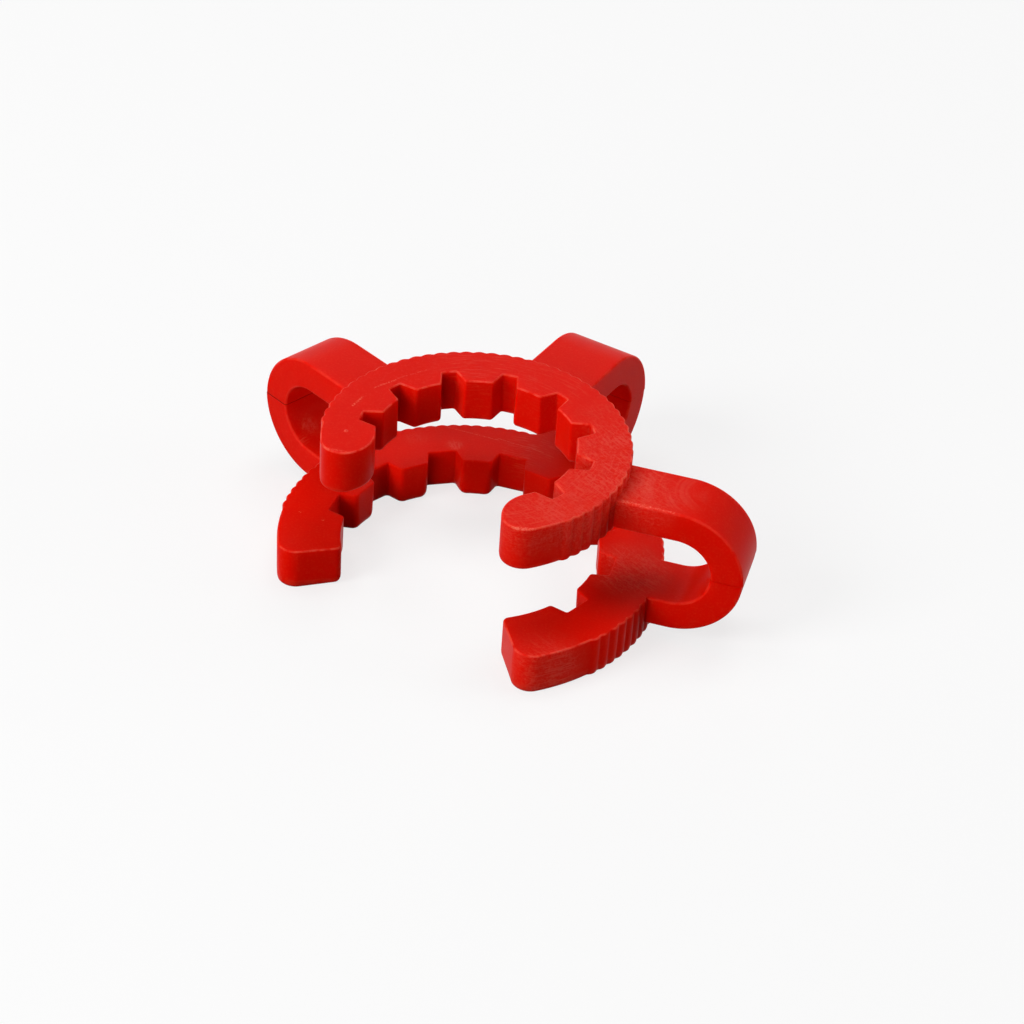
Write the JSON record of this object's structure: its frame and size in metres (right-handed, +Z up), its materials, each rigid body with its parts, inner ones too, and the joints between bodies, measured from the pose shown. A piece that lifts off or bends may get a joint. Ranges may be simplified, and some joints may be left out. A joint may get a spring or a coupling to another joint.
{
  "type": "ground glass joint clip",
  "caption": "Springy plastic clip with a small and a large toothed C ring, held apart by upright loops, that snaps on a ground glass joint.",
  "frame": {"origin": "on the common axis of the two rings, in the plane of the large ring's underside", "axes": "+Z up along the axis of the rings, from the large ring to the small ring; the mouth of both rings opens to -Y and the back loop points to +Y"},
  "size_m": [0.0502, 0.0366, 0.0148],
  "materials": {
    "red_plastic": "moulded acetal, bright red, satin gloss, with faint pale flow marks and fine rub marks on the upper faces"
  },
  "bodies": {
    "root": {"clip": "red_plastic"}
  },
  "joints": []
}
